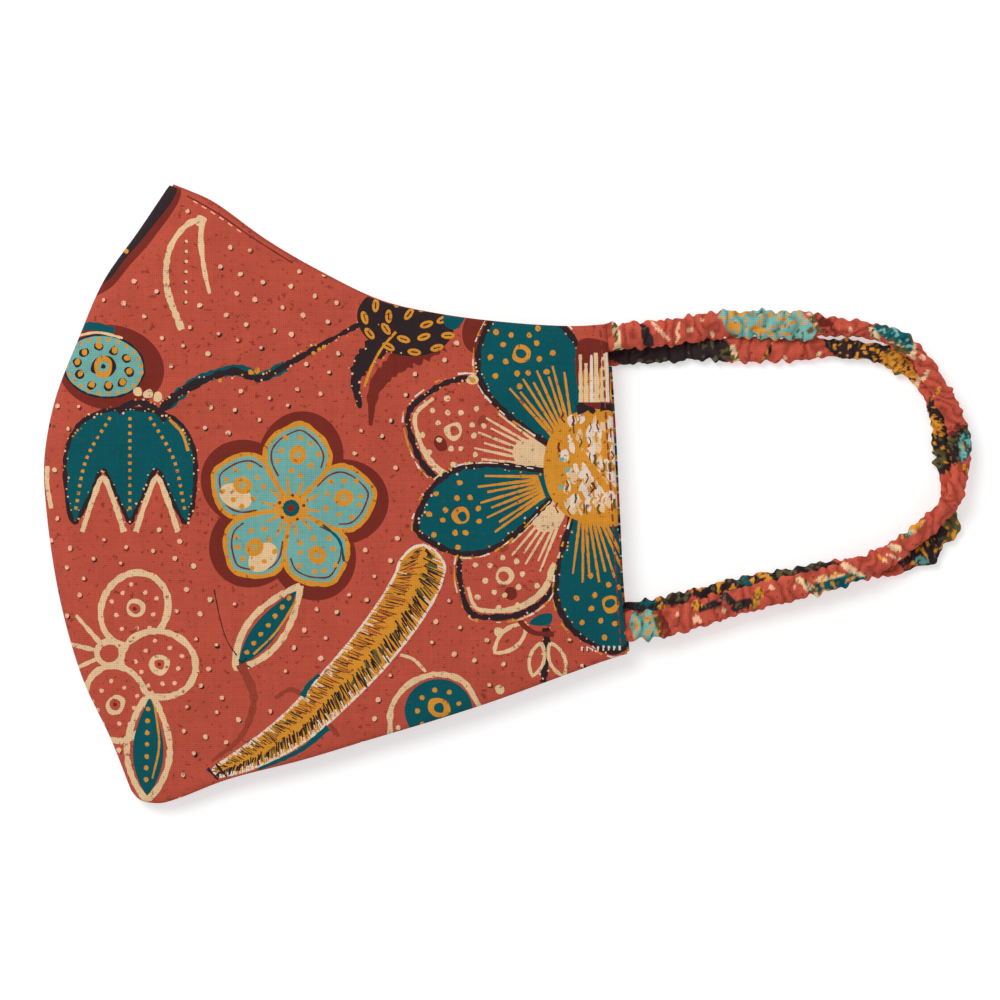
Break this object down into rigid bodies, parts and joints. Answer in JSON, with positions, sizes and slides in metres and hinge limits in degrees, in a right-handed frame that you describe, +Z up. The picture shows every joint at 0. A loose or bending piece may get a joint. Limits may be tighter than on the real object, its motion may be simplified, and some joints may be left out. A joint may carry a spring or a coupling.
{
  "type": "cloth face mask",
  "caption": "Fitted cloth face mask of printed cotton, folded flat along its curved centre seam, with gathered fabric ear loops.",
  "frame": {"origin": "under the middle of the two panels, on the surface that the folded mask lies on", "axes": "+X from the centre seam towards the side hem and the ear loops, +Y from the chin towards the nose, +Z up off the surface, out of the left panel's outer face"},
  "size_m": [0.2196, 0.1463, 0.0089],
  "materials": {
    "panel_cotton": "matte plain-weave cotton with a hand-blocked floral print",
    "loop_cotton": "matte printed cotton casing, gathered over elastic"
  },
  "bodies": {
    "root": {"left_panel": "panel_cotton", "right_panel": "panel_cotton", "left_ear_loop": "loop_cotton", "right_ear_loop": "loop_cotton"}
  },
  "joints": []
}
